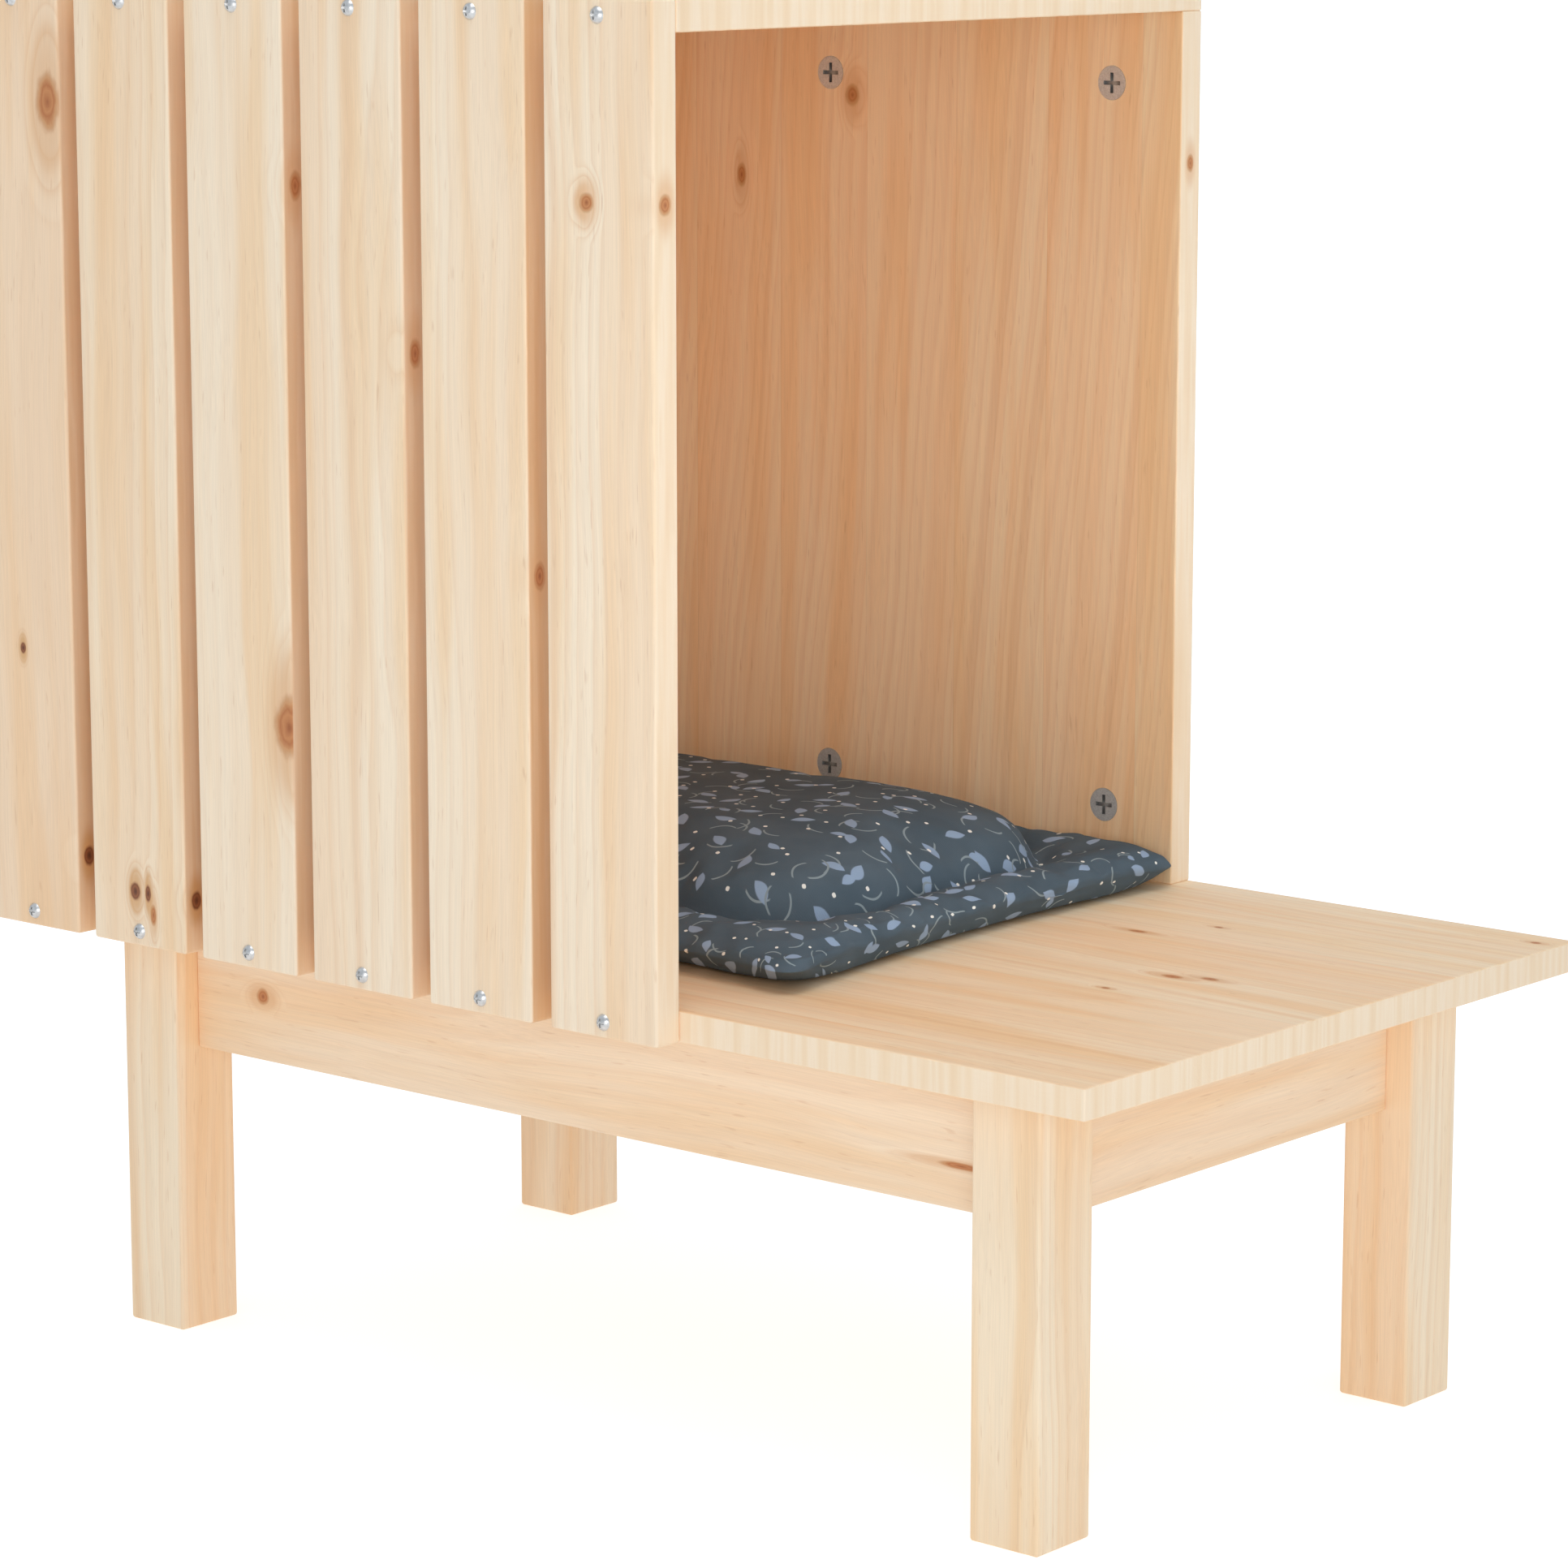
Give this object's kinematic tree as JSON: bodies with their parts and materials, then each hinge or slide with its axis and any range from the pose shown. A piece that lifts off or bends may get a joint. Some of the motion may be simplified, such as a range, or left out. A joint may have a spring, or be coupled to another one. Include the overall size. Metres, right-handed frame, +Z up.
{
  "type": "cat house",
  "caption": "Slatted pine cat house: an open-fronted cabin on a low legged frame, with a platform before the opening and a loose padded cushion inside.",
  "frame": {"origin": "middle of the footprint box, on the floor", "axes": "+X to the open platform in front of the cabin, +Y to the closed side panel, +Z up"},
  "size_m": [0.6, 0.3621, 0.6],
  "materials": {
    "pine_board": "untreated edge-glued pine, planed",
    "pine_slat": "untreated pine, planed",
    "pine_frame": "untreated pine, planed",
    "beech_pin": "fluted beech, unfinished",
    "cast_zinc": "die-cast zinc, dull",
    "zinc_steel": "bright zinc plate on steel",
    "cushion_cotton": "printed plain-weave cotton over fibre filling"
  },
  "bodies": {
    "house": {"base_board": "pine_board", "roof_board": "pine_board", "side_panel": "pine_board", "rear_panel": "pine_board", "slat_1": "pine_slat", "slat_2": "pine_slat", "slat_3": "pine_slat", "slat_4": "pine_slat", "slat_5": "pine_slat", "slat_6": "pine_slat", "leg_front_near": "pine_frame", "leg_front_far": "pine_frame", "leg_rear_near": "pine_frame", "leg_rear_far": "pine_frame", "apron_near": "pine_frame", "apron_far": "pine_frame", "apron_front": "pine_frame", "apron_rear": "pine_frame", "side_dowels": "beech_pin", "rear_dowels": "beech_pin", "leg_dowels": "beech_pin", "side_cam_nuts": "cast_zinc", "rear_cam_nuts": "cast_zinc", "side_cam_bolts": "zinc_steel", "rear_cam_bolts": "zinc_steel", "slat_screws_bottom": "zinc_steel", "slat_screws_top": "zinc_steel", "board_screws": "zinc_steel"},
    "cushion": {"cushion": "cushion_cotton"}
  },
  "joints": [
    {"name": "cushion_slide", "type": "slide", "parent": "house", "child": "cushion", "axis": [1, 0, 0], "range_m": [0, 0.58]}
  ]
}
